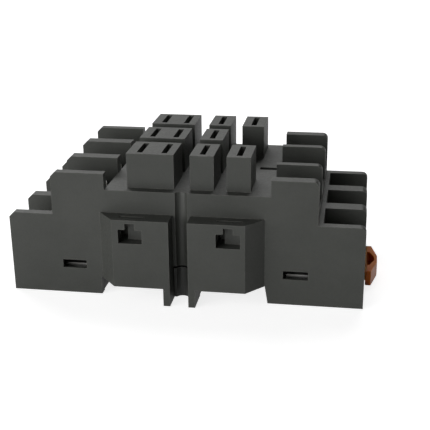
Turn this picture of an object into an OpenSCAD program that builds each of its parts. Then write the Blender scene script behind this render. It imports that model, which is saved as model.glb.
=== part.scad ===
// Relay socket for a 35 mm rail: three changeover poles and a coil, eleven screw terminals.
// X runs along the body, across the rail. Y runs along the rail. Z points up from the feet.
// The origin is the middle of the rail gap, at the level of the feet.

/* [Body] */
// Width of the body over its side walls
body_w = 37.4; // [37:0.1:39]
// Gap between the feet that takes the rail
rail_gap = 35.2; // [35:0.1:36]
// Length of the left foot
left_foot = 19.3; // [19:0.1:22]
// Length of the right foot
right_foot = 19.5; // [19:0.1:22]
// Height of the rail seat above the feet
seat_z = 3.8; // [3:0.1:4.2]
// Height of the lower terminal tier
lower_z = 17.55; // [17:0.05:18.5]
// Height of the upper terminal tier
upper_z = 26.7; // [26:0.1:28]
// Height of the deck
deck_z = 23.3; // [22.8:0.1:24]
// Height of the contact towers
tower_z = 30.6; // [29:0.1:33]
// Thickness of the deck
deck_t = 1.8; // [1.2:0.1:2]
// Thickness of the end walls
end_wall = 1.4; // [1:0.1:1.8]
// Chamfer on the left corners of the barriers
corner_cut = 1; // [0.4:0.1:1.6]
// Radius on the right corners of the barriers
corner_r = 1.2; // [0.4:0.1:1.6]

/* [Terminals] */
// Distance between two poles
pole_pitch = 12.1; // [12:0.05:12.3]
// Length of a lower tier
lower_len = 9.5; // [9.4:0.1:10.5]
// Length of the left upper tier
upper_len_left = 11.3; // [11:0.1:12]
// Length of the right upper tier
upper_len_right = 9.5; // [9.4:0.1:10]
// Thickness of the barriers between the left cells
left_fin = 2.7; // [2.4:0.1:2.9]
// Thickness of the barriers between the right lower cells
right_fin = 3.5; // [3:0.1:3.6]
// Thickness of the barriers beside the coil cells
coil_fin = 1.7; // [1.4:0.1:2]
// Distance of the coil barriers from the middle
coil_fin_y = 6.85; // [6.7:0.05:7]
// Thickness of the outer walls beside the coil cells
coil_wall = 2.5; // [2:0.1:2.6]
// Wall between a lower cell and the tier above it
step_wall = 0.9; // [0.7:0.1:1]
// Depth of the terminal plates below the top of their tier
plate_depth = 7.2; // [7:0.1:7.6]

/* [Contact towers] */
// Depth of a tower along the rail
tower_d = 9; // [8.4:0.1:9.2]
// Width of the towers with two slots
wide_tower = 9.8; // [9.4:0.1:10.2]
// Width of the towers with one slot
narrow_tower = 4.9; // [4.7:0.1:5.4]
// Place of the break contacts
break_x = -9.15; // [-9.4:0.05:-9]
// Place of the make contacts
make_x = -4.05; // [-4.3:0.05:-3.9]
// Place of the common contacts
common_x = 3.85; // [3.6:0.05:4.2]
// Place of the coil contacts
coil_x = 11.35; // [11:0.05:11.6]
// Width of a blade slot
slot_w = 1.2; // [0.8:0.1:1.4]
// Length of a blade slot
slot_l = 6.8; // [6:0.1:7.2]
// Thickness of the top of a tower
tower_top = 1.3; // [1:0.1:1.6]

/* [Retainer pockets] */
// How far the pockets stand out of the side walls
pocket_out = 4.15; // [3:0.05:5]
// Height of the pockets
pocket_z = 18.45; // [17.9:0.05:19]
// Length of the front of a pocket
pocket_len = 11.7; // [11:0.1:12]
// Length of the slanted end of a pocket
pocket_slant = 3.5; // [2:0.1:4]
// Gap between the two pockets of a side
pocket_gap = 3.8; // [3:0.1:4.2]
// Middle of that gap
pocket_mid = -0.15; // [-0.3:0.05:0.3]
// Distance of the windows from the middle
window_x = 10; // [9.6:0.1:10.4]
// Width of a window
window_w = 4.9; // [4:0.1:5.2]
// Bottom of a window
window_z = 13.45; // [12:0.05:14]
// Height of a window
window_h = 2.95; // [2:0.05:3.4]
// Width of the notch over a window
notch_w = 2; // [1.4:0.1:2.6]
// Height of the notch over a window
notch_h = 1.3; // [0.8:0.1:1.4]
// Length of the slot in the top of a pocket
strap_l = 5.3; // [5:0.1:5.6]
// Width of the slot in the top of a pocket
strap_w = 0.8; // [0.5:0.1:1.2]
// Distance of that slot from the front of the pocket
strap_in = 1.7; // [1.4:0.1:2]
// Thickness of the ribs below the pockets
rib_t = 1.4; // [1:0.1:1.8]

/* [Base plate] */
// Level of the seam in the side channel
seam_z = 7.2; // [6.8:0.1:7.6]
// Height of the top of the base plate
base_z = 4.9; // [4.7:0.1:5]
// Clearance around the base plate
base_gap = 0.1; // [0.05:0.05:0.2]
// Height of the underside of the base plate above the feet
base_lift = 0.3; // [0.2:0.1:0.5]
// Reach of the fixed rail hook
hook_reach = 1.3; // [1:0.1:1.6]
// Thickness of the rail flange that the hooks grip
flange_t = 1.1; // [1:0.05:1.3]

/* [Rail clip] */
// Width of the slide of the clip
slide_w = 14; // [12:0.5:14]
// Thickness of the slide
slide_t = 1.9; // [1.6:0.1:2]
// Width of the tab at the end wall
tab_w = 14.6; // [14.6:0.1:17]
// How far the middle of the tab stands out of the end wall
tab_out = 2.8; // [2.4:0.1:3.2]
// Thickness of the tab
tab_t = 3.4; // [3.3:0.1:4]
// Travel of the clip
clip_travel = 3; // [2:0.5:3]
// Running clearance of the clip
slide_gap = 0.25; // [0.2:0.05:0.3]

/* [Contacts] */
// Thickness of the stamped strip
strip_t = 0.9; // [0.8:0.05:1]
// Width of a terminal plate
plate_w = 6.4; // [6:0.1:6.6]
// Length of a terminal plate
plate_l = 6; // [5.4:0.1:6.2]
// Width of the strip between the plate and the receptacle
run_w = 5; // [4.6:0.1:5.4]
// Width of the wide foot of the lower strips
foot_w = 8.4; // [8:0.1:8.8]
// Width of a receptacle
fork_w = 5.4; // [5:0.1:5.8]
// Thickness of a receptacle's leaves
leaf_t = 0.4; // [0.3:0.05:0.5]

/* [Screws and clamps] */
// Diameter of the screw's shank
shank_d = 3.5; // [3:0.1:3.6]
// Length of the shank
shank_l = 8; // [7:0.1:8.4]
// Diameter of the screw's head
head_d = 6.4; // [6:0.1:6.6]
// Height of the screw's head
head_h = 2.1; // [1.8:0.1:2.2]
// Length of the clamp plate
clamp_l = 6.8; // [6.4:0.1:7]
// Width of the clamp plate
clamp_w = 7.5; // [7.3:0.1:7.7]
// Thickness of the clamp plate
clamp_t = 0.9; // [0.7:0.1:1]
// Distance of the lower screws from the end of the body
lower_screw = 4.6; // [4.4:0.1:4.8]
// Distance of the upper screws from the deck
upper_screw = 4.5; // [4.4:0.1:4.7]

/* [Hidden] */
left = -1;
right = 1;
eps = 0.01;
over = 1;
round_fn = 48;
poles = [-pole_pitch, 0, pole_pitch];
coil_rows = [-pole_pitch, pole_pitch];
sides = [-1, 1];

// Stations along the body
x_left = -rail_gap / 2 - left_foot;
x_right = rail_gap / 2 + right_foot;
x_step_left = x_left + lower_len;
x_step_right = x_right - lower_len;
x_deck_left = x_step_left + upper_len_left;
x_deck_right = x_step_right - upper_len_right;
half_w = body_w / 2;
face_y = half_w + pocket_out;

// Cells
left_cell = pole_pitch - left_fin;
inner_y = 1.5 * pole_pitch - left_fin / 2;
coil_in = coil_fin_y + coil_fin / 2;
coil_out = half_w - coil_wall;
bay_y = coil_fin_y - coil_fin / 2;
upper_sill = upper_z - plate_depth;
lower_sill = lower_z - plate_depth;
sill_wall = 1;
curtain_gap = 0.4;
under_deck = deck_z - deck_t;
curtain_z = upper_sill + curtain_gap;
foot_top = base_z + strip_t;
passage_z = foot_top + 1.3;

// Towers
fork_room = 3.3;
fork_clear = 0.6;
wide_mid = (break_x + make_x) / 2 - 0.2;
deck_slot_w = 1.6;
deck_slot_x = coil_x + narrow_tower / 2;

// Side windows that show the lower strips
foot_window_w = 5.1;
foot_window_h = 1.8;
foot_window_x = 3.1;
foot_window_z = 5.65;
window_skin = 0.8;
window_relief = 0.4;
catch_w = 1.5;
catch_deep = 5.2;
channel_r = 1.35;
channel_in = 0.8;
foot_lead = 0.6;

// Base plate
body_in_left = x_left + end_wall + base_gap;
body_in_right = x_right - end_wall - base_gap;
base_half = inner_y - base_gap;
seam_gap = 0.4;
post_half = plate_w / 2 - 0.2;
foot_reach = 1.4;
post_gap = 0.3;
well_r = 2.2;
collar_r = 2.9;
collar_h = 1.4;
collar_well = 0.2;
screw_end_gap = 0.8;
tunnel_z = foot_top + 0.4;
pocket_wall = 1.8;
pocket_deep = 1.6;
hook_w = 24;
hook_z = seat_z - flange_t;

// Rail clip
clip_floor = 1.1;
slide_z = clip_floor + slide_gap;
tab_z = 0.1;
tab_shoulder = 1.5;
tab_flat = 3.2;
tab_gap = 0.3;
hook_nose = 1.4;
eye_l = 7.2;
eye_flat = 1.6;
eye_x = 0.5;
eye_shoulder = 0.6;
eye_wall = 0.7;
arm_root = 7;
arm_t = 0.9;
arm_r = 4;
arm_room_x = 16;
arm_room_w = 13.5;

// Terminals
screw_x_left = x_left + lower_screw;
screw_x_right = x_right - lower_screw;
screw_x_upper_left = x_deck_left - upper_screw;
screw_x_upper_right = x_deck_right + upper_screw;
seat_gap = 0.05;
thread_gap = 0.05;
shank_gap = 0.1;
wing_t = 0.4;
wing_h = 0.8;
wing_l = 4.6;
drive_w = 0.9;
drive_l = 4.4;
drive_deep = 1.2;
point_h = 0.6;
leaf_foot = 1.2;
leaf_pinch = 0.5;
leaf_flare = 0.95;
fork_base_z = upper_sill;
pinch_z = tower_z - 3.6;
flare_z = tower_z - 2.1;

// A box from its lowest to its highest corner
module span(lo, hi) {
    translate(lo) cube(hi - lo);
}

// A flat outline in X and Z, made solid between two places along Y
module wall_between(y0, y1) {
    translate([0, y1, 0]) rotate([90, 0, 0]) linear_extrude(y1 - y0) children();
}

// The stepped side outline of the body, with the rail gap in its underside
module side_outline() {
    difference() {
        union() {
            translate([x_left, 0]) square([x_right - x_left, lower_z]);
            translate([x_step_left, 0]) square([x_step_right - x_step_left, upper_z]);
        }
        translate([x_deck_left, deck_z]) square([x_deck_right - x_deck_left, upper_z]);
        polygon([
            [-rail_gap / 2, -over], [-rail_gap / 2, seat_z],
            [rail_gap / 2 - foot_lead, seat_z], [rail_gap / 2, 0], [rail_gap / 2, -over]
        ]);
        left_corner(x_left, lower_z);
        left_corner(x_step_left, upper_z);
        right_corner(x_right, lower_z);
        right_corner(x_step_right, upper_z);
    }
}

module left_corner(x, z) {
    polygon([[x - eps, z - corner_cut], [x + corner_cut, z + eps], [x - eps, z + eps]]);
}

module right_corner(x, z) {
    difference() {
        translate([x - corner_r, z - corner_r]) square(corner_r + eps);
        translate([x - corner_r, z - corner_r]) circle(corner_r, $fn = round_fn);
    }
}

// A pocket for the strap of a retaining clip, at one end of the front of a side wall
module pocket(end) {
    inner_x = end * pocket_gap / 2;
    front_x = inner_x + end * pocket_len;
    translate([pocket_mid, 0, seat_z]) linear_extrude(pocket_z - seat_z) polygon([
        [inner_x, -half_w + over], [inner_x, -face_y], [front_x, -face_y],
        [front_x + end * pocket_slant, -half_w], [front_x + end * pocket_slant, -half_w + over]
    ]);
    rib_x = end > 0 ? inner_x : inner_x - rib_t;
    translate([pocket_mid + rib_x, -face_y, 0]) cube([rib_t, face_y - inner_y, seat_z + eps]);
}

module pocket_cuts(end) {
    strap_y = -face_y + strap_in;
    translate([end * window_x - window_w / 2, -face_y - over, window_z])
        cube([catch_w, over + catch_deep, window_h]);
    translate([end * window_x - strap_l / 2, strap_y, window_z])
        cube([strap_l, strap_w, pocket_z]);
    translate([end * window_x - window_w / 2, -face_y - over, window_z])
        cube([window_w, over + strap_in + eps, window_h]);
    translate([end * window_x - notch_w / 2, -face_y - over, window_z])
        cube([notch_w, over + strap_in + eps, window_h + notch_h]);
}

// Everything that both side walls have: pockets, ribs and the channel between them
module side_dress(y_side) {
    mirror([0, y_side > 0 ? 1 : 0, 0]) {
        pocket(left);
        pocket(right);
    }
}

module side_cuts(y_side) {
    mirror([0, y_side > 0 ? 1 : 0, 0]) {
        pocket_cuts(left);
        pocket_cuts(right);
        translate([pocket_mid, -half_w - channel_r + channel_in, -over])
            cylinder(h = deck_z + 2 * over, r = channel_r, $fn = round_fn);
        span([pocket_mid - pocket_gap / 2, -face_y, -over],
            [pocket_mid + pocket_gap / 2, -inner_y + over, seam_z]);
        for (x = [-rail_gap / 2 - foot_window_x - foot_window_w, rail_gap / 2 + foot_window_x]) {
            span([x, -half_w - over, foot_window_z],
                [x + foot_window_w, -inner_y + over, foot_window_z + foot_window_h]);
            span([x - window_relief, -half_w + window_skin, base_z],
                [x + foot_window_w + window_relief, -inner_y + eps, foot_window_z + foot_window_h + window_relief]);
        }
    }
}

// Towers
module towers() {
    for (y = poles) {
        tower(wide_mid, y, wide_tower);
        tower(common_x, y, narrow_tower);
    }
    for (y = coil_rows) tower(coil_x, y, narrow_tower);
}

module tower(x, y, w) {
    span([x - w / 2, y - tower_d / 2, deck_z - eps], [x + w / 2, y + tower_d / 2, tower_z]);
}

module blade_slots() {
    for (y = poles, x = [break_x, make_x, common_x]) blade_slot(x, y);
    for (y = coil_rows) blade_slot(coil_x, y);
}

module blade_slot(x, y) {
    span([x - slot_w / 2, y - slot_l / 2, deck_z], [x + slot_w / 2, y + slot_l / 2, tower_z + over]);
    span([x - fork_room / 2, y - slot_l / 2, under_deck - eps],
        [x + fork_room / 2, y + slot_l / 2, tower_z - tower_top]);
}

// Cells: row_y is the middle of a cell, y0 and y1 are its walls
module left_cells() {
    for (y = poles) {
        y0 = y - left_cell / 2;
        y1 = y + left_cell / 2;
        span([x_step_left - over, y0, upper_sill], [x_deck_left, y1, upper_z + over]);
        span([x_step_left + sill_wall, y0, base_z], [x_deck_left, y1, upper_sill + eps]);
        span([x_left - over, y0, lower_sill], [x_step_left - step_wall, y1, upper_z]);
        span([x_left + end_wall, y0, base_z], [x_step_left - step_wall, y1, lower_sill + eps]);
        span([x_step_left - step_wall - eps, y0, base_z], [x_step_left + over + eps, y1, passage_z]);
    }
}

module right_cells() {
    for (y = poles) {
        y0 = y == poles[0] ? -inner_y : y - pole_pitch / 2 + right_fin / 2;
        y1 = y == poles[2] ? inner_y : y + pole_pitch / 2 - right_fin / 2;
        span([x_step_right + step_wall, y0, lower_sill], [x_right + over, y1, upper_z]);
        span([x_step_right + step_wall, y0, base_z], [x_right - end_wall, y1, lower_sill + eps]);
        span([x_step_right - over - eps, y0, base_z], [x_step_right + step_wall + eps, y1, passage_z]);
    }
    for (s = sides) mirror([0, s > 0 ? 0 : 1, 0]) {
        span([x_deck_right, coil_in, upper_sill], [x_step_right + over, coil_out, upper_z + over]);
        span([x_deck_right - eps, coil_in, base_z], [x_step_right - sill_wall, coil_out, upper_sill + eps]);
        span([x_deck_right - eps, coil_in, base_z], [x_step_right - sill_wall, inner_y, passage_z]);
    }
    span([x_deck_right, -bay_y, upper_sill], [x_step_right + over, bay_y, upper_z + over]);
    span([x_deck_right - eps, -left_cell / 2, base_z],
        [x_step_right - sill_wall, left_cell / 2, passage_z]);
}

// The hollow under the deck, one for each pole, with a curtain at each end
module deck_hollows() {
    for (y = poles) {
        y0 = y - left_cell / 2;
        y1 = y + left_cell / 2;
        span([x_deck_left + sill_wall, y0, base_z], [x_deck_right - sill_wall, y1, under_deck]);
        span([x_deck_left - eps, y0, base_z], [x_deck_left + over + eps, y1, curtain_z]);
    }
    for (y = poles) {
        top = y == 0 ? passage_z : curtain_z;
        span([x_deck_right - sill_wall - eps, y - left_cell / 2, base_z],
            [x_deck_right + eps, y + left_cell / 2, top]);
    }
}

module housing() {
    color([0.27, 0.275, 0.26]) difference() {
        union() {
            wall_between(-half_w, half_w) side_outline();
            for (s = sides) side_dress(s);
            towers();
        }
        for (s = sides) side_cuts(s);
        left_cells();
        right_cells();
        deck_hollows();
        blade_slots();
        span([deck_slot_x, -deck_slot_w / 2, under_deck - over],
            [x_deck_right + eps, deck_slot_w / 2, deck_z + over]);
        span([x_left + end_wall, -inner_y, -over], [x_right - end_wall, inner_y, base_z + eps]);
        span([x_right - end_wall - over, -slide_w / 2 - slide_gap, -over],
            [x_right + over, slide_w / 2 + slide_gap, slide_z + slide_t + slide_gap]);
    }
}

// Base plate
module lower_post(x) {
    for (y = poles)
        span([x - plate_l / 2 + post_gap, y - post_half, base_z - eps],
            [x + plate_l / 2 - post_gap, y + post_half, lower_sill - strip_t]);
}

// A post from the base plate up to an upper terminal plate, between the walls y0 and y1.
// It bridges the narrow run of the lower strip and stands clear of its wide foot.
module upper_post(x, y, y0, y1, side) {
    x0 = x - clamp_l / 2;
    x1 = x + clamp_l / 2;
    foot_end = x - side * (foot_reach + post_gap);
    difference() {
        span([x0, y0 + post_gap, base_z - eps], [x1, y1 - post_gap, upper_sill - strip_t]);
        span([x0 - over, y - run_w / 2 - post_gap, base_z],
            [x1 + over, y + run_w / 2 + post_gap, tunnel_z]);
        span([side < 0 ? x0 - over : foot_end, y - pole_pitch, base_z],
            [side < 0 ? foot_end : x1 + over, y + pole_pitch, tunnel_z + over]);
        for (s = sides) translate([0, y, 0]) mirror([0, s > 0 ? 0 : 1, 0])
            span([x0 - over, post_half, upper_sill - strip_t - wing_h - over],
                [x1 + over, pole_pitch, upper_sill]);
    }
}

module screw_well(x, y, sill) {
    top = sill - strip_t;
    bottom = sill + clamp_t - shank_l - screw_end_gap;
    translate([x, y, bottom]) cylinder(h = top - bottom + over, r = well_r, $fn = round_fn);
    translate([x, y, top - collar_h - collar_well])
        cylinder(h = collar_h + collar_well + over, r = collar_r + post_gap, $fn = round_fn);
}

module foot_pockets(x0, x1) {
    cell = (x1 - x0 - pocket_wall) / 2;
    for (i = [0, 1], y = poles)
        span([x0 + pocket_wall + i * cell, y - pole_pitch / 2 + pocket_wall / 2, -over],
            [x0 + (i + 1) * cell, y + pole_pitch / 2 - pocket_wall / 2, base_lift + pocket_deep]);
}

module base_plate() {
    color([0.24, 0.25, 0.24]) difference() {
        union() {
            span([body_in_left, -base_half, base_lift], [body_in_right, base_half, base_z]);
            for (s = sides) mirror([0, s > 0 ? 1 : 0, 0]) difference() {
                span([pocket_mid - pocket_gap / 2 + base_gap, -half_w, base_lift],
                    [pocket_mid + pocket_gap / 2 - base_gap, -base_half + over, seam_z - seam_gap]);
                translate([pocket_mid, -half_w - channel_r + channel_in, -over])
                    cylinder(h = seam_z + over, r = channel_r, $fn = round_fn);
            }
            span([-rail_gap / 2, -hook_w / 2, base_lift], [-rail_gap / 2 + hook_reach, hook_w / 2, hook_z]);
            lower_post(screw_x_left);
            lower_post(screw_x_right);
            for (y = poles) upper_post(screw_x_upper_left, y, y - left_cell / 2, y + left_cell / 2, left);
            upper_post(screw_x_upper_right, poles[0], -coil_out, -coil_in, right);
            upper_post(screw_x_upper_right, poles[2], coil_in, coil_out, right);
        }
        rail_cut();
        clip_room();
        foot_pockets(body_in_left, -rail_gap / 2);
        for (y = poles) {
            screw_well(screw_x_left, y, lower_sill);
            screw_well(screw_x_right, y, lower_sill);
            screw_well(screw_x_upper_left, y, upper_sill);
        }
        for (y = coil_rows) screw_well(screw_x_upper_right, y, upper_sill);
    }
}

// The rail gap in the base plate, on both sides of its middle rib
module rail_cut() {
    rib_left = pocket_mid - pocket_gap / 2 - rib_t;
    rib_right = pocket_mid + pocket_gap / 2 + rib_t;
    difference() {
        span([-rail_gap / 2, -half_w, -over], [rail_gap / 2, half_w, seat_z]);
        span([rib_left, -half_w - over, -over], [rib_right, half_w + over, seat_z + over]);
        span([-rail_gap / 2 - over, -hook_w / 2, -over], [-rail_gap / 2 + hook_reach, hook_w / 2, hook_z]);
    }
}

// The room that the rail clip slides in
module clip_room() {
    top = slide_z + slide_t + slide_gap;
    span([rail_gap / 2 - over, -slide_w / 2 - slide_gap, clip_floor],
        [x_right, slide_w / 2 + slide_gap, top]);
    span([rail_gap / 2 + pocket_wall, -arm_room_w, clip_floor],
        [rail_gap / 2 + pocket_wall + arm_room_x, arm_room_w, top]);
}

// The tab in plan, with an eye for a screwdriver
module tab_2d() {
    tab_x = x_right + tab_gap;
    difference() {
        polygon([
            [tab_x, -tab_w / 2], [x_right + tab_shoulder, -tab_w / 2], [x_right + tab_out, -tab_flat / 2],
            [x_right + tab_out, tab_flat / 2], [x_right + tab_shoulder, tab_w / 2], [tab_x, tab_w / 2]
        ]);
        polygon([
            [x_right + eye_x, -eye_l / 2], [x_right + eye_x + eye_shoulder, -eye_l / 2],
            [x_right + tab_out - eye_wall, -eye_flat / 2], [x_right + tab_out - eye_wall, eye_flat / 2],
            [x_right + eye_x + eye_shoulder, eye_l / 2], [x_right + eye_x, eye_l / 2]
        ]);
    }
}

// Rail clip
module rail_clip() {
    tab_x = x_right + tab_gap;
    nose_x = rail_gap / 2 - hook_nose;
    color([0.75, 0.42, 0.1]) union() {
        span([rail_gap / 2 + slide_gap, -slide_w / 2, slide_z], [tab_x + eps, slide_w / 2, slide_z + slide_t]);
        wall_between(-slide_w / 2, slide_w / 2) polygon([
            [nose_x, slide_z + slide_t / 2], [nose_x + slide_t / 2, slide_z],
            [rail_gap / 2 + over, slide_z], [rail_gap / 2 + over, hook_z - slide_gap / 2],
            [nose_x, hook_z - slide_gap / 2]
        ]);
        for (s = sides) mirror([0, s > 0 ? 0 : 1, 0]) spring_arm();
        translate([0, 0, tab_z]) linear_extrude(tab_t) tab_2d();
    }
}

// A moulded arm that springs against the foot
module spring_arm() {
    x = rail_gap / 2 + pocket_wall + arm_root;
    translate([x, slide_w / 2, slide_z]) intersection() {
        difference() {
            cylinder(h = slide_t, r = arm_r, $fn = round_fn);
            translate([0, 0, -over]) cylinder(h = slide_t + 2 * over, r = arm_r - arm_t, $fn = round_fn);
        }
        translate([-arm_r - over, -eps, -over]) cube([2 * (arm_r + over), arm_r + over, slide_t + 2 * over]);
    }
}

// Contacts
module bar_2d(p, q, t) {
    along = q - p;
    translate(p) rotate(atan2(along[1], along[0])) translate([0, -t / 2]) square([norm(along), t]);
    translate(p) circle(d = t, $fn = round_fn);
    translate(q) circle(d = t, $fn = round_fn);
}

// Two sprung leaves that grip a blade, standing on a small plate
module fork(x, y) {
    wall_between(y - fork_w / 2, y + fork_w / 2) {
        translate([x - leaf_foot - leaf_t / 2, fork_base_z - strip_t])
            square([2 * leaf_foot + leaf_t, strip_t]);
        for (s = sides) {
            bar_2d([x + s * leaf_foot, fork_base_z - strip_t / 2], [x + s * leaf_foot, under_deck], leaf_t);
            bar_2d([x + s * leaf_foot, under_deck], [x + s * leaf_pinch, pinch_z], leaf_t);
            bar_2d([x + s * leaf_pinch, pinch_z], [x + s * leaf_flare, flare_z], leaf_t);
        }
    }
}

module plate(x, y, sill) {
    difference() {
        union() {
            span([x - plate_l / 2, y - plate_w / 2, sill - strip_t], [x + plate_l / 2, y + plate_w / 2, sill]);
            translate([x, y, sill - strip_t - collar_h]) cylinder(h = collar_h + eps, r = collar_r, $fn = round_fn);
        }
        translate([x, y, sill - strip_t - collar_h - over])
            cylinder(h = strip_t + collar_h + 2 * over, r = shank_d / 2 + thread_gap, $fn = round_fn);
    }
}

module upper_contact(x_screw, x_fork, y, side) {
    start = x_screw - side * (plate_l / 2 - eps);
    color([0.8, 0.68, 0.42]) union() {
        plate(x_screw, y, upper_sill);
        span([min(start, x_fork), y - run_w / 2, upper_sill - strip_t],
            [max(start, x_fork), y + run_w / 2, upper_sill]);
        fork(x_fork, y);
    }
}

module lower_contact(x_screw, x_fork, y, side) {
    drop = x_screw - side * plate_l / 2;
    foot_end = (side < 0 ? screw_x_upper_left : screw_x_upper_right) - side * foot_reach;
    color([0.8, 0.68, 0.42]) union() {
        plate(x_screw, y, lower_sill);
        span([min(drop, drop - side * strip_t), y - plate_w / 2, base_z],
            [max(drop, drop - side * strip_t), y + plate_w / 2, lower_sill]);
        span([min(drop, foot_end), y - foot_w / 2, base_z], [max(drop, foot_end), y + foot_w / 2, foot_top]);
        span([min(drop, x_fork - strip_t / 2), y - run_w / 2, base_z],
            [max(drop, x_fork + strip_t / 2), y + run_w / 2, foot_top]);
        span([x_fork - strip_t / 2, y - run_w / 2, base_z], [x_fork + strip_t / 2, y + run_w / 2, fork_base_z]);
        fork(x_fork, y);
    }
}

// Clamp plates and screws
module clamp(x, y, sill) {
    z = sill + seat_gap;
    color([0.72, 0.72, 0.7]) difference() {
        union() {
            span([x - clamp_l / 2, y - clamp_w / 2, z], [x + clamp_l / 2, y + clamp_w / 2, z + clamp_t]);
            for (s = sides)
                translate([x - wing_l / 2, s > 0 ? y + clamp_w / 2 - wing_t : y - clamp_w / 2, z - wing_h])
                    cube([wing_l, wing_t, wing_h + eps]);
        }
        translate([x, y, z - over]) cylinder(h = clamp_t + 2 * over, r = shank_d / 2 + shank_gap, $fn = round_fn);
    }
}

module screw(x, y, sill) {
    z = sill + 2 * seat_gap + clamp_t;
    color([0.75, 0.75, 0.73]) translate([x, y, z]) difference() {
        union() {
            translate([0, 0, -shank_l + point_h]) cylinder(h = shank_l - point_h + eps, d = shank_d, $fn = round_fn);
            translate([0, 0, -shank_l])
                cylinder(h = point_h, d1 = shank_d - 2 * point_h, d2 = shank_d, $fn = round_fn);
            cylinder(h = head_h, d = head_d, $fn = round_fn);
        }
        for (turn = [0, 90]) rotate(turn)
            translate([-drive_l / 2, -drive_w / 2, head_h - drive_deep]) cube([drive_l, drive_w, head_h]);
        translate([-head_d, -drive_w / 2, head_h - drive_deep / 2]) cube([2 * head_d, drive_w, head_h]);
    }
}

housing();
base_plate();
rail_clip();
lower_contact(screw_x_right, common_x, poles[0], right);  // contact_11
lower_contact(screw_x_right, common_x, poles[1], right);  // contact_21
lower_contact(screw_x_right, common_x, poles[2], right);  // contact_31
lower_contact(screw_x_left, make_x, poles[0], left);  // contact_14
lower_contact(screw_x_left, make_x, poles[1], left);  // contact_24
lower_contact(screw_x_left, make_x, poles[2], left);  // contact_34
upper_contact(screw_x_upper_left, break_x, poles[0], left);  // contact_12
upper_contact(screw_x_upper_left, break_x, poles[1], left);  // contact_22
upper_contact(screw_x_upper_left, break_x, poles[2], left);  // contact_32
upper_contact(screw_x_upper_right, coil_x, poles[0], right);  // contact_a1
upper_contact(screw_x_upper_right, coil_x, poles[2], right);  // contact_a2
clamp(screw_x_right, poles[0], lower_sill);  // clamp_11
clamp(screw_x_right, poles[1], lower_sill);  // clamp_21
clamp(screw_x_right, poles[2], lower_sill);  // clamp_31
clamp(screw_x_left, poles[0], lower_sill);  // clamp_14
clamp(screw_x_left, poles[1], lower_sill);  // clamp_24
clamp(screw_x_left, poles[2], lower_sill);  // clamp_34
clamp(screw_x_upper_left, poles[0], upper_sill);  // clamp_12
clamp(screw_x_upper_left, poles[1], upper_sill);  // clamp_22
clamp(screw_x_upper_left, poles[2], upper_sill);  // clamp_32
clamp(screw_x_upper_right, poles[0], upper_sill);  // clamp_a1
clamp(screw_x_upper_right, poles[2], upper_sill);  // clamp_a2
screw(screw_x_right, poles[0], lower_sill);  // screw_11
screw(screw_x_right, poles[1], lower_sill);  // screw_21
screw(screw_x_right, poles[2], lower_sill);  // screw_31
screw(screw_x_left, poles[0], lower_sill);  // screw_14
screw(screw_x_left, poles[1], lower_sill);  // screw_24
screw(screw_x_left, poles[2], lower_sill);  // screw_34
screw(screw_x_upper_left, poles[0], upper_sill);  // screw_12
screw(screw_x_upper_left, poles[1], upper_sill);  // screw_22
screw(screw_x_upper_left, poles[2], upper_sill);  // screw_32
screw(screw_x_upper_right, poles[0], upper_sill);  // screw_a1
screw(screw_x_upper_right, poles[2], upper_sill);  // screw_a2
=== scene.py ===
import math

import bpy
from mathutils import Matrix, Vector

MM = 0.001
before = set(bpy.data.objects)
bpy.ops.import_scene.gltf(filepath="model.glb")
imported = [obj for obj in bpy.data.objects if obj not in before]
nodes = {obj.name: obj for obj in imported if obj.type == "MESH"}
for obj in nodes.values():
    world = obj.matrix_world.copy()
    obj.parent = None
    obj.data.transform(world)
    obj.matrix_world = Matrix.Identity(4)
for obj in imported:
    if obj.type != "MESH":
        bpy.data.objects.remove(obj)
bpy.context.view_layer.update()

# Sockets of the colour mix node, which has one set for each kind of value
MIX_FACTOR = 0
MIX_A = 6
MIX_B = 7
MIX_RESULT = 2


def add_node(tree, kind, **settings):
    made = tree.nodes.new(kind)
    for key, value in settings.items():
        setattr(made, key, value)
    return made


def empty_tree(owner):
    owner.use_nodes = True
    owner.node_tree.nodes.clear()
    return owner.node_tree


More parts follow.
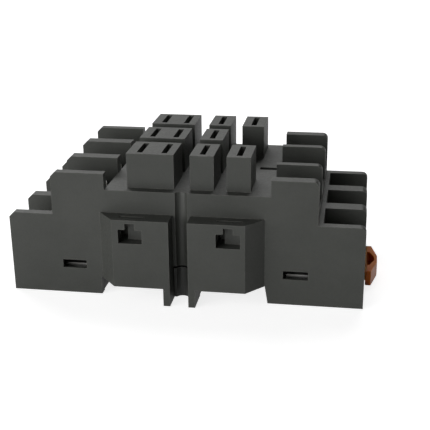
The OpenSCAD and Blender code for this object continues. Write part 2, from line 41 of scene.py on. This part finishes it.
# Materials of the part
class Shader:
    """A small builder for a node material with one Principled shader."""

    def __init__(self, name):
        self.mat = bpy.data.materials.new(name)
        self.tree = empty_tree(self.mat)
        self.out = self.node("ShaderNodeOutputMaterial")
        self.bsdf = self.node("ShaderNodeBsdfPrincipled")
        self.link(self.bsdf, "BSDF", self.out, "Surface")
        self.coords = self.node("ShaderNodeTexCoord")

    def node(self, kind, **settings):
        return add_node(self.tree, kind, **settings)

    def link(self, a, out, b, into):
        self.tree.links.new(a.outputs[out], b.inputs[into])

    def mapped(self, stretch):
        m = self.node("ShaderNodeMapping")
        m.inputs["Scale"].default_value = stretch
        self.link(self.coords, "Object", m, "Vector")
        return m

    def noise(self, scale, detail, rough, stretch=(1, 1, 1)):
        n = self.node("ShaderNodeTexNoise")
        n.inputs["Scale"].default_value = scale
        n.inputs["Detail"].default_value = detail
        n.inputs["Roughness"].default_value = rough
        self.link(self.mapped(stretch), "Vector", n, "Vector")
        return n

    def cells(self, scale):
        v = self.node("ShaderNodeTexVoronoi", feature="F1")
        v.inputs["Scale"].default_value = scale
        self.link(self.mapped((1, 1, 1)), "Vector", v, "Vector")
        return v

    def ramp(self, source, low, high):
        """The colour low up to 0.3 of a noise and high from 0.7, where most of its values end."""
        r = self.node("ShaderNodeValToRGB")
        stops = ((0.3, low), (0.7, high))
        for mark, (place, colour) in zip(r.color_ramp.elements, stops):
            mark.position = place
            mark.color = (*colour, 1)
        self.link(source, "Fac", r, "Fac")
        return r

    def remap(self, source, out, a, b, lo, hi):
        """Turns the span a to b of a value into lo to hi, and stops at both ends."""
        m = self.node("ShaderNodeMapRange")
        m.inputs["From Min"].default_value = a
        m.inputs["From Max"].default_value = b
        m.inputs["To Min"].default_value = lo
        m.inputs["To Max"].default_value = hi
        self.link(source, out, m, "Value")
        return m

    def times(self, a, b):
        m = self.node("ShaderNodeMath", operation="MULTIPLY")
        self.link(a, "Result", m, 0)
        self.link(b, "Result", m, 1)
        return m

    def mix(self, factor, factor_out, a, a_out, b):
        """From the colour of node a towards the plain colour b."""
        m = self.node("ShaderNodeMix", data_type="RGBA", blend_type="MIX")
        self.link(factor, factor_out, m, MIX_FACTOR)
        self.link(a, a_out, m, MIX_A)
        m.inputs[MIX_B].default_value = (*b, 1)
        return m

    def edge(self, radius):
        """1 on an edge and 0 on a flat, from the true normal and a rounded one."""
        rounded = self.node("ShaderNodeBevel", samples=4)
        rounded.inputs["Radius"].default_value = radius
        true = self.node("ShaderNodeNewGeometry")
        dot = self.node("ShaderNodeVectorMath", operation="DOT_PRODUCT")
        self.link(rounded, "Normal", dot, 0)
        self.link(true, "Normal", dot, 1)
        return self.remap(dot, "Value", 1.0, 0.8, 0.0, 1.0)

    def upward(self, level):
        """The given level on faces that look up, and 0 from about 53 degrees off."""
        geo = self.node("ShaderNodeNewGeometry")
        split = self.node("ShaderNodeSeparateXYZ")
        self.link(geo, "Normal", split, "Vector")
        return self.remap(split, "Z", 0.6, 1.0, 0.0, level)

    def bump(self, height, out, strength, depth, under=None):
        b = self.node("ShaderNodeBump")
        b.inputs["Strength"].default_value = strength
        b.inputs["Distance"].default_value = depth
        self.link(height, out, b, "Height")
        if under is not None:
            self.link(under, "Normal", b, "Normal")
        return b

    def finish(self, colour, colour_out, gloss, relief):
        self.link(colour, colour_out, self.bsdf, "Base Color")
        self.link(gloss, "Result", self.bsdf, "Roughness")
        self.link(relief, "Normal", self.bsdf, "Normal")
        return self.mat


GRAIN = 2600
PITS_PER_GRAIN = 1.4
DUST_AND_TOP_LIGHT = 0.25
PLASTIC_EDGE = 0.35 * MM
AMBER_EDGE = 0.3 * MM
METAL_EDGE = 0.2 * MM


def moulded(name, dark, pale, worn_and_lit, rough):
    """Spark-eroded plastic: fine grain, mottling, flow streaks, worn edges with a painted edge
    highlight, and a little dust with painted top light on faces that look up.
    """
    s = Shader(name)
    mottle = s.noise(90, 4, 0.6)
    flow = s.noise(140, 3, 0.5, (0.25, 1.0, 1.6))
    speck = s.noise(GRAIN, 2, 0.6)
    base = s.ramp(mottle, dark, pale)
    streak = s.remap(flow, "Fac", 0.3, 0.7, 0.0, 0.35)
    streaked = s.mix(streak, "Result", base, "Color", pale)
    broken = s.noise(700, 3, 0.7)
    patchy = s.remap(broken, "Fac", 0.4, 0.62, 0.15, 0.8)
    # Lighter edges: partly real wear, partly a painted edge highlight.
    wear_and_highlight = s.times(s.edge(PLASTIC_EDGE), patchy)
    edged = s.mix(wear_and_highlight, "Value", streaked, MIX_RESULT, worn_and_lit)
    # Faces that look up are lightened in patches: partly dust, partly painted top light.
    top_patch_noise = s.noise(330, 5, 0.75)
    top_patches = s.remap(top_patch_noise, "Fac", 0.45, 0.75, 0.0, 1.0)
    dust_and_top_light = s.times(s.upward(DUST_AND_TOP_LIGHT), top_patches)
    dusted_and_top_lit = s.mix(dust_and_top_light, "Value", edged, MIX_RESULT, worn_and_lit)
    gloss = s.remap(speck, "Fac", 0.3, 0.7, rough - 0.07, rough + 0.09)
    s.bsdf.inputs["IOR"].default_value = 1.5
    pits = s.cells(GRAIN * PITS_PER_GRAIN)
    low = s.bump(flow, "Fac", 0.12, 0.05 * MM)
    mid = s.bump(pits, "Distance", 0.22, 0.03 * MM, low)
    top = s.bump(speck, "Fac", 0.3, 0.03 * MM, mid)
    return s.finish(dusted_and_top_lit, MIX_RESULT, gloss, top)


def amber(name, deep, clear, rim_highlight):
    """Orange plastic that lets a little light in, with a painted edge highlight that makes it paler
    along its edges.
    """
    s = Shader(name)
    flow = s.noise(120, 3, 0.5, (1.0, 0.5, 1.8))
    fine = s.noise(1800, 2, 0.5)
    body = s.ramp(flow, deep, clear)
    # Paler edges: a painted edge highlight.
    rim_highlighted = s.mix(s.edge(AMBER_EDGE), "Result", body, "Color", rim_highlight)
    s.bsdf.inputs["Specular IOR Level"].default_value = 0.25
    s.bsdf.inputs["Subsurface Weight"].default_value = 0.3
    s.bsdf.inputs["Subsurface Radius"].default_value = (1.0, 0.35, 0.1)
    s.bsdf.inputs["Subsurface Scale"].default_value = 1.2 * MM
    gloss = s.remap(fine, "Fac", 0.3, 0.7, 0.28, 0.42)
    low = s.bump(flow, "Fac", 0.2, 0.06 * MM)
    top = s.bump(fine, "Fac", 0.15, 0.02 * MM, low)
    return s.finish(rim_highlighted, MIX_RESULT, gloss, top)


def metal(name, dull, bright, rough, stretch, dirt):
    """Stamped, plated metal: drawn lines, blotches of tarnish and polished edges brightened as a
    painted edge highlight.
    """
    s = Shader(name)
    drawn = s.noise(900, 4, 0.6, stretch)
    blotch = s.noise(260, 4, 0.65)
    base = s.ramp(drawn, dull, bright)
    tarnish = s.remap(blotch, "Fac", 0.52, 0.78, 0.0, 0.55)
    aged = s.mix(tarnish, "Result", base, "Color", dirt)
    # Brighter edges: partly polish, partly a painted edge highlight.
    polish_and_highlight = s.mix(s.edge(METAL_EDGE), "Result", aged, MIX_RESULT, bright)
    s.bsdf.inputs["Metallic"].default_value = 1.0
    gloss = s.remap(drawn, "Fac", 0.25, 0.75, rough - 0.08, rough + 0.14)
    top = s.bump(drawn, "Fac", 0.25, 0.02 * MM)
    return s.finish(polish_and_highlight, MIX_RESULT, gloss, top)


GREASE = (0.2, 0.17, 0.12)
HOUSING = moulded(
    "housing_plastic", (0.045, 0.048, 0.042), (0.061, 0.064, 0.057), (0.15, 0.15, 0.135), 0.5
)
BASE = moulded(
    "base_plastic", (0.036, 0.038, 0.035), (0.05, 0.052, 0.048), (0.12, 0.12, 0.11), 0.52
)
CLIP = amber("clip_plastic", (0.6, 0.13, 0.004), (0.72, 0.2, 0.008), (0.85, 0.36, 0.05))
TIN = metal(
    "contact_metal", (0.6, 0.6, 0.57), (0.84, 0.84, 0.81), 0.34, (0.15, 1.0, 1.0), (0.27, 0.25, 0.2)
)
ZINC = metal(
    "clamp_metal", (0.52, 0.52, 0.5), (0.76, 0.76, 0.73), 0.32, (0.2, 1.0, 1.0), GREASE
)
STEEL = metal(
    "screw_metal", (0.56, 0.56, 0.54), (0.82, 0.82, 0.8), 0.28, (1.0, 1.0, 1.0), GREASE
)

# Start of a node's name, its material, the width of its broken edges in mm, and their segments
FINISHES = (
    ("housing", HOUSING, 0.14, 2),
    ("base_plate", BASE, 0.1, 1),
    ("rail_clip", CLIP, 0.22, 2),
    ("contact_", TIN, 0.06, 1),
    ("clamp_", ZINC, 0.1, 1),
    ("screw_", STEEL, 0.1, 1),
)
WELD_REACH = 0.002 * MM
SHARP = math.radians(40)


def dress(obj, mat, width, segments):
    """Gives a CAD node its material and softly broken edges."""
    obj.data.materials.clear()
    obj.data.materials.append(mat)
    weld = obj.modifiers.new("weld", "WELD")
    weld.merge_threshold = WELD_REACH
    soft = obj.modifiers.new("soft_edges", "BEVEL")
    soft.width = width
    soft.segments = segments
    soft.limit_method = "ANGLE"
    soft.angle_limit = SHARP
    soft.use_clamp_overlap = True
    soft.harden_normals = True


for name, obj in nodes.items():
    for start, mat, width, segments in FINISHES:
        if name.startswith(start):
            dress(obj, mat, width * MM, segments)

# Stage
FLOOR_HALF = 1.5
FLOOR_DROP = 0.02 * MM
FLOOR_PAPER = (0.62, 0.62, 0.62, 1)
FLOOR_SEEN = 0.8
FLOOR_MIRRORED = 0.4
WHITE = (1, 1, 1, 1)
WORLD_LIGHT = 0.03
WORLD_SEEN = 1.0


def link_in(obj):
    bpy.context.scene.collection.objects.link(obj)
    return obj


def floor_material():
    """Pale paper that also glows for the camera and in mirrored light, and still takes shadow."""
    mat = bpy.data.materials.new("floor_paper")
    tree = empty_tree(mat)
    out = add_node(tree, "ShaderNodeOutputMaterial")
    paper = add_node(tree, "ShaderNodeBsdfDiffuse")
    paper.inputs["Color"].default_value = FLOOR_PAPER
    glow = add_node(tree, "ShaderNodeEmission")
    glow.inputs["Color"].default_value = WHITE
    seen = add_node(tree, "ShaderNodeLightPath")
    mirrored = add_node(tree, "ShaderNodeMath", operation="MULTIPLY")
    mirrored.inputs[1].default_value = FLOOR_MIRRORED
    level = add_node(tree, "ShaderNodeMath", operation="MULTIPLY_ADD")
    level.inputs[1].default_value = FLOOR_SEEN
    both = add_node(tree, "ShaderNodeAddShader")
    tree.links.new(seen.outputs["Is Glossy Ray"], mirrored.inputs[0])
    tree.links.new(seen.outputs["Is Camera Ray"], level.inputs[0])
    tree.links.new(mirrored.outputs[0], level.inputs[2])
    tree.links.new(level.outputs[0], glow.inputs["Strength"])
    tree.links.new(paper.outputs[0], both.inputs[0])
    tree.links.new(glow.outputs[0], both.inputs[1])
    tree.links.new(both.outputs[0], out.inputs["Surface"])
    return mat


def floor_sheet():
    corners = ((-1, -1), (1, -1), (1, 1), (-1, 1))
    mesh = bpy.data.meshes.new("floor")
    mesh.from_pydata([(x * FLOOR_HALF, y * FLOOR_HALF, 0) for x, y in corners], [], [(0, 1, 2, 3)])
    mesh.materials.append(floor_material())
    made = link_in(bpy.data.objects.new("floor", mesh))
    made.location.z = -FLOOR_DROP
    return made


def studio_world():
    """Nearly dark for the part, and white where the camera looks past the floor."""
    world = bpy.data.worlds.new("studio")
    bpy.context.scene.world = world
    tree = empty_tree(world)
    out = add_node(tree, "ShaderNodeOutputWorld")
    air = add_node(tree, "ShaderNodeBackground")
    air.inputs["Color"].default_value = WHITE
    seen = add_node(tree, "ShaderNodeLightPath")
    level = add_node(tree, "ShaderNodeMapRange")
    level.inputs["To Min"].default_value = WORLD_LIGHT
    level.inputs["To Max"].default_value = WORLD_SEEN
    tree.links.new(seen.outputs["Is Camera Ray"], level.inputs["Value"])
    tree.links.new(level.outputs["Result"], air.inputs["Strength"])
    tree.links.new(air.outputs[0], out.inputs["Surface"])


floor = floor_sheet()
studio_world()

# Name, place in metres and watts of each soft lamp
LAMPS = (
    ("key_left", (-0.6, -0.45, 0.2), 1.7),
    ("key_front", (-0.2, -0.75, 0.08), 2.2),
    ("back_left", (-0.5, 0.5, 0.5), 2.8),
    ("back", (0, 0.5, 0.6), 2.4),
    ("right", (0.75, 0, 0.3), 0.25),
    ("high_left", (-0.45, -0.5, 0.45), 0.7),
)
LAMP_SIDE = 0.45
AIM = Vector((0, 0, 0.015))


def softbox(name, place, watts):
    light = bpy.data.lights.new(name, "AREA")
    light.shape = "RECTANGLE"
    light.size = light.size_y = LAMP_SIDE
    light.energy = watts
    made = link_in(bpy.data.objects.new(name, light))
    made.location = place
    made.rotation_euler = (AIM - Vector(place)).to_track_quat("-Z", "Y").to_euler()


for lamp in LAMPS:
    softbox(*lamp)

# Camera at the photograph's viewing angle
YAW, PITCH, ROLL = (math.radians(a) for a in (9.309, 20.269, -0.606))
PLACE = Vector((34.86, -189.8, 83.0)) * MM
SENSOR_W = 36
LENS = 76.7888
NEAR = 0.01
FAR = 10


def camera_frame():
    """The camera's place and its right, up and back directions as one matrix."""
    level = math.cos(PITCH)
    ahead = Vector((-math.sin(YAW) * level, math.cos(YAW) * level, -math.sin(PITCH)))
    across = Vector((math.cos(YAW), math.sin(YAW), 0))
    above = across.cross(ahead)
    right = across * math.cos(ROLL) + above * math.sin(ROLL)
    up = above * math.cos(ROLL) - across * math.sin(ROLL)
    rows = [(right[i], up[i], -ahead[i], PLACE[i]) for i in range(3)]
    return Matrix((*rows, (0, 0, 0, 1)))


lens = bpy.data.cameras.new("camera")
lens.sensor_width = SENSOR_W
lens.lens = LENS
lens.clip_start = NEAR
lens.clip_end = FAR
camera = link_in(bpy.data.objects.new("camera", lens))
camera.matrix_world = camera_frame()
bpy.context.scene.camera = camera
bpy.context.scene.view_settings.view_transform = "Standard"
